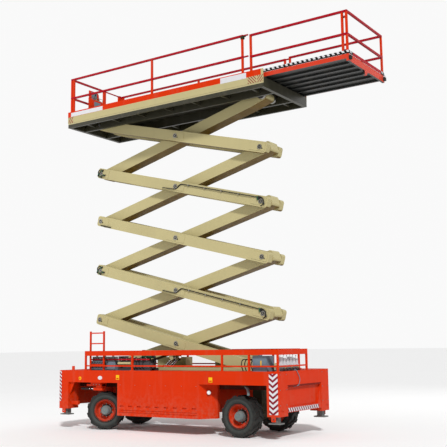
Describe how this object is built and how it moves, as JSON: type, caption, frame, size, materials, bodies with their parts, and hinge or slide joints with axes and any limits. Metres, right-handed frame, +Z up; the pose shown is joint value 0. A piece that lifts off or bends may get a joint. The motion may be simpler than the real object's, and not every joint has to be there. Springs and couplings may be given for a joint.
{
  "type": "rough-terrain scissor lift",
  "caption": "Self-propelled rough-terrain scissor lift with a stack of crossed arms, a railed platform with a slide-out deck, steered wheels and corner jacks.",
  "frame": {"origin": "on the ground, under the middle of the whole machine's length and width", "axes": "+X along the machine towards the end the extension deck slides out of, +Y to the far side, +Z up"},
  "size_m": [9, 2.5, 9.945],
  "materials": {
    "orange_paint": "gloss",
    "scissor_paint": "satin",
    "rail_paint": "gloss",
    "board_paint": "satin",
    "dark_paint": "satin",
    "machine_grey": "satin",
    "steel": "satin",
    "chrome": "polished",
    "rubber": "matte",
    "hose_rubber": "matte",
    "tyre": "matte"
  },
  "bodies": {
    "chassis": {"chassis_frame": "orange_paint", "scissor_base": "scissor_paint", "side_box_near": "orange_paint", "side_box_far": "orange_paint", "end_frame_left": "orange_paint", "end_frame_right": "orange_paint", "axle_left": "orange_paint", "axle_right": "orange_paint", "deck_rails": "orange_paint", "ladder": "orange_paint", "engine": "machine_grey", "hydraulic_unit": "machine_grey", "hydraulic_tank": "machine_grey", "deck_tanks": "orange_paint", "ground_control": "machine_grey", "base_pins": "steel"},
    "platform": {"platform_deck": "dark_paint", "toe_boards": "orange_paint", "platform_rails": "rail_paint", "control_box": "orange_paint"},
    "entry_gate": {"entry_gate": "rail_paint"},
    "extension": {"extension_deck": "dark_paint", "extension_rails": "rail_paint", "extension_boards": "board_paint", "extension_pads": "rubber"},
    "lift_barrels": {"lift_barrels": "dark_paint"},
    "lift_rods": {"lift_rods": "chrome"},
    "tie_rod": {"tie_rod": "steel"},
    "inner_arms_1": {"inner_arms_1": "scissor_paint"},
    "outer_arms_1": {"outer_arms_1": "scissor_paint", "pivot_pins_1": "steel"},
    "inner_arms_2": {"inner_arms_2": "scissor_paint"},
    "outer_arms_2": {"outer_arms_2": "scissor_paint", "pivot_pins_2": "steel", "hoses_2": "hose_rubber"},
    "inner_arms_3": {"inner_arms_3": "scissor_paint"},
    "outer_arms_3": {"outer_arms_3": "scissor_paint", "pivot_pins_3": "steel"},
    "inner_arms_4": {"inner_arms_4": "scissor_paint"},
    "outer_arms_4": {"outer_arms_4": "scissor_paint", "pivot_pins_4": "steel", "hoses_4": "hose_rubber"},
    "inner_arms_5": {"inner_arms_5": "scissor_paint", "top_rollers": "steel"},
    "outer_arms_5": {"outer_arms_5": "scissor_paint", "pivot_pins_5": "steel"},
    "knuckle_near": {"knuckle_near": "orange_paint"},
    "wheel_left_near": {"tyre_left_near": "tyre", "rim_left_near": "orange_paint"},
    "jack_left_near": {"jack_left_near": "orange_paint"},
    "wheel_right_near": {"tyre_right_near": "tyre", "rim_right_near": "orange_paint"},
    "jack_right_near": {"jack_right_near": "orange_paint"},
    "knuckle_far": {"knuckle_far": "orange_paint"},
    "wheel_left_far": {"tyre_left_far": "tyre", "rim_left_far": "orange_paint"},
    "jack_left_far": {"jack_left_far": "orange_paint"},
    "wheel_right_far": {"tyre_right_far": "tyre", "rim_right_far": "orange_paint"},
    "jack_right_far": {"jack_right_far": "orange_paint"}
  },
  "joints": [
    {"name": "lift", "type": "hinge", "parent": "chassis", "child": "inner_arms_1", "pos_m": [-3.8, 0, 1.55], "axis": [0, -1, 0], "range_deg": [-11.41, 45.39]},
    {"name": "cross_1", "type": "hinge", "parent": "inner_arms_1", "child": "outer_arms_1", "pos_m": [-1.1, 0, 2.254], "axis": [0, -1, 0], "range_deg": [-91.77, 23.83]},
    {"name": "knee_1", "type": "hinge", "parent": "inner_arms_1", "child": "outer_arms_2", "pos_m": [1.6, 0, 2.958], "axis": [0, -1, 0], "range_deg": [-91.77, 23.83]},
    {"name": "cross_2", "type": "hinge", "parent": "outer_arms_2", "child": "inner_arms_2", "pos_m": [-1.1, 0, 3.662], "axis": [0, -1, 0], "range_deg": [-23.83, 91.77]},
    {"name": "knee_2", "type": "hinge", "parent": "outer_arms_2", "child": "inner_arms_3", "pos_m": [-3.8, 0, 4.366], "axis": [0, -1, 0], "range_deg": [-23.83, 91.77]},
    {"name": "cross_3", "type": "hinge", "parent": "inner_arms_3", "child": "outer_arms_3", "pos_m": [-1.1, 0, 5.07], "axis": [0, -1, 0], "range_deg": [-91.77, 23.83]},
    {"name": "knee_3", "type": "hinge", "parent": "inner_arms_3", "child": "outer_arms_4", "pos_m": [1.6, 0, 5.774], "axis": [0, -1, 0], "range_deg": [-91.77, 23.83]},
    {"name": "cross_4", "type": "hinge", "parent": "outer_arms_4", "child": "inner_arms_4", "pos_m": [-1.1, 0, 6.478], "axis": [0, -1, 0], "range_deg": [-23.83, 91.77]},
    {"name": "knee_4", "type": "hinge", "parent": "outer_arms_4", "child": "inner_arms_5", "pos_m": [-3.8, 0, 7.182], "axis": [0, -1, 0], "range_deg": [-23.83, 91.77]},
    {"name": "cross_5", "type": "hinge", "parent": "inner_arms_5", "child": "outer_arms_5", "pos_m": [-1.1, 0, 7.886], "axis": [0, -1, 0], "range_deg": [-91.77, 23.83]},
    {"name": "platform_pivot", "type": "hinge", "parent": "outer_arms_5", "child": "platform", "pos_m": [-3.8, 0, 8.59], "axis": [0, -1, 0], "range_deg": [-12.41, 46.39]},
    {"name": "barrel_tilt", "type": "hinge", "parent": "chassis", "child": "lift_barrels", "pos_m": [-2.85, 0, 0.6], "axis": [0, -1, 0], "range_deg": [-10.97, 40.65]},
    {"name": "rod_slide", "type": "slide", "parent": "lift_barrels", "child": "lift_rods", "axis": [0.7499, 0, 0.6615], "range_m": [-0.2787, 1.0786]},
    {"name": "steer_near", "type": "hinge", "parent": "chassis", "child": "knuckle_near", "pos_m": [-3.25, -0.62, 0.502], "axis": [0, 0, 1], "range_deg": [-60, 4]},
    {"name": "steer_far", "type": "hinge", "parent": "chassis", "child": "knuckle_far", "pos_m": [-3.25, 0.62, 0.502], "axis": [0, 0, 1], "range_deg": [-60.5, 4.5]},
    {"name": "tie_rod_pivot", "type": "hinge", "parent": "knuckle_near", "child": "tie_rod", "pos_m": [-2.98512, -0.47916, 0.352], "axis": [0, 0, 1], "range_deg": [-4.5, 60.5]},
    {"name": "roll_left_near", "type": "hinge", "parent": "knuckle_near", "child": "wheel_left_near", "pos_m": [-3.13263, -0.84074, 0.502], "axis": [-0.4695, 0.8829, 0], "continuous": true},
    {"name": "roll_right_near", "type": "hinge", "parent": "chassis", "child": "wheel_right_near", "pos_m": [1.25, -0.87, 0.502], "axis": [0, 1, 0], "continuous": true},
    {"name": "roll_left_far", "type": "hinge", "parent": "knuckle_far", "child": "wheel_left_far", "pos_m": [-3.36737, 0.84074, 0.502], "axis": [-0.4695, 0.8829, 0], "continuous": true},
    {"name": "roll_right_far", "type": "hinge", "parent": "chassis", "child": "wheel_right_far", "pos_m": [1.25, 0.87, 0.502], "axis": [0, 1, 0], "continuous": true},
    {"name": "jack_left_near", "type": "slide", "parent": "chassis", "child": "jack_left_near", "axis": [0, 0, -1], "range_m": [0, 0.55]},
    {"name": "jack_left_far", "type": "slide", "parent": "chassis", "child": "jack_left_far", "axis": [0, 0, -1], "range_m": [0, 0.55]},
    {"name": "jack_right_near", "type": "slide", "parent": "chassis", "child": "jack_right_near", "axis": [0, 0, -1], "range_m": [0, 0.55]},
    {"name": "jack_right_far", "type": "slide", "parent": "chassis", "child": "jack_right_far", "axis": [0, 0, -1], "range_m": [0, 0.55]},
    {"name": "extend", "type": "slide", "parent": "platform", "child": "extension", "axis": [1, 0, 0], "range_m": [-2.19, 0]},
    {"name": "gate_swing", "type": "hinge", "parent": "platform", "child": "entry_gate", "pos_m": [-4.34, 0.935, 8.74], "axis": [0, 0, 1], "range_deg": [0, 88]}
  ],
  "couplings": [
    {"joint": "cross_1", "follows": "lift", "ratio": -2},
    {"joint": "knee_1", "follows": "lift", "ratio": -2},
    {"joint": "cross_2", "follows": "lift", "ratio": 2},
    {"joint": "knee_2", "follows": "lift", "ratio": 2},
    {"joint": "cross_3", "follows": "lift", "ratio": -2},
    {"joint": "knee_3", "follows": "lift", "ratio": -2},
    {"joint": "cross_4", "follows": "lift", "ratio": 2},
    {"joint": "knee_4", "follows": "lift", "ratio": 2},
    {"joint": "cross_5", "follows": "lift", "ratio": -2},
    {"joint": "platform_pivot", "follows": "lift", "ratio": 1},
    {"joint": "barrel_tilt", "follows": "lift", "ratio": 0.8736},
    {"joint": "rod_slide", "follows": "lift", "m_per_rad": 1.349},
    {"joint": "steer_far", "follows": "steer_near", "ratio": 1},
    {"joint": "tie_rod_pivot", "follows": "steer_near", "ratio": -1}
  ]
}
